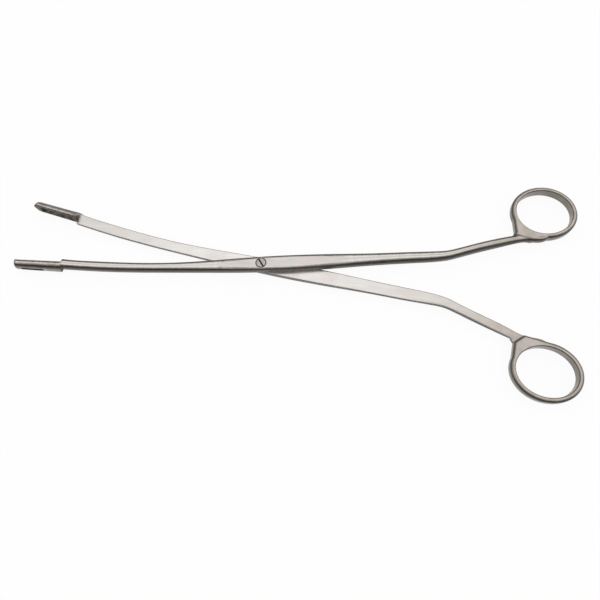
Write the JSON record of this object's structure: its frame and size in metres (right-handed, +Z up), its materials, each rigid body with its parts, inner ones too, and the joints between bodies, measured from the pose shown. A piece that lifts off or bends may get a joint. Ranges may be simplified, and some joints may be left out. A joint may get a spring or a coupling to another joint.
{
  "type": "kidney stone forceps",
  "caption": "Long forceps with crossed half-round shanks, oval finger rings and slim, windowed half-rod jaws with fine cross teeth, joined by a slotted screw.",
  "frame": {"origin": "on the screw's axis, on the flat land under the joint", "axes": "+X from the joint towards the finger rings, between the two shanks, +Z up along the screw towards its slotted head; the jaws are at -X"},
  "size_m": [0.2367, 0.09, 0.0065],
  "materials": {
    "ground_steel": "satin ground stainless steel with a worn, slightly darkened surface",
    "screw_steel": "turned stainless steel, dark in the slot"
  },
  "bodies": {
    "lower_body": {"lower_half": "ground_steel", "joint_screw": "screw_steel"},
    "upper_body": {"upper_half": "ground_steel"}
  },
  "joints": [
    {"name": "joint_hinge", "type": "hinge", "parent": "lower_body", "child": "upper_body", "pos_m": [0, 0, 0], "axis": [0, 0, 1], "range_deg": [-13.94, 30]}
  ]
}
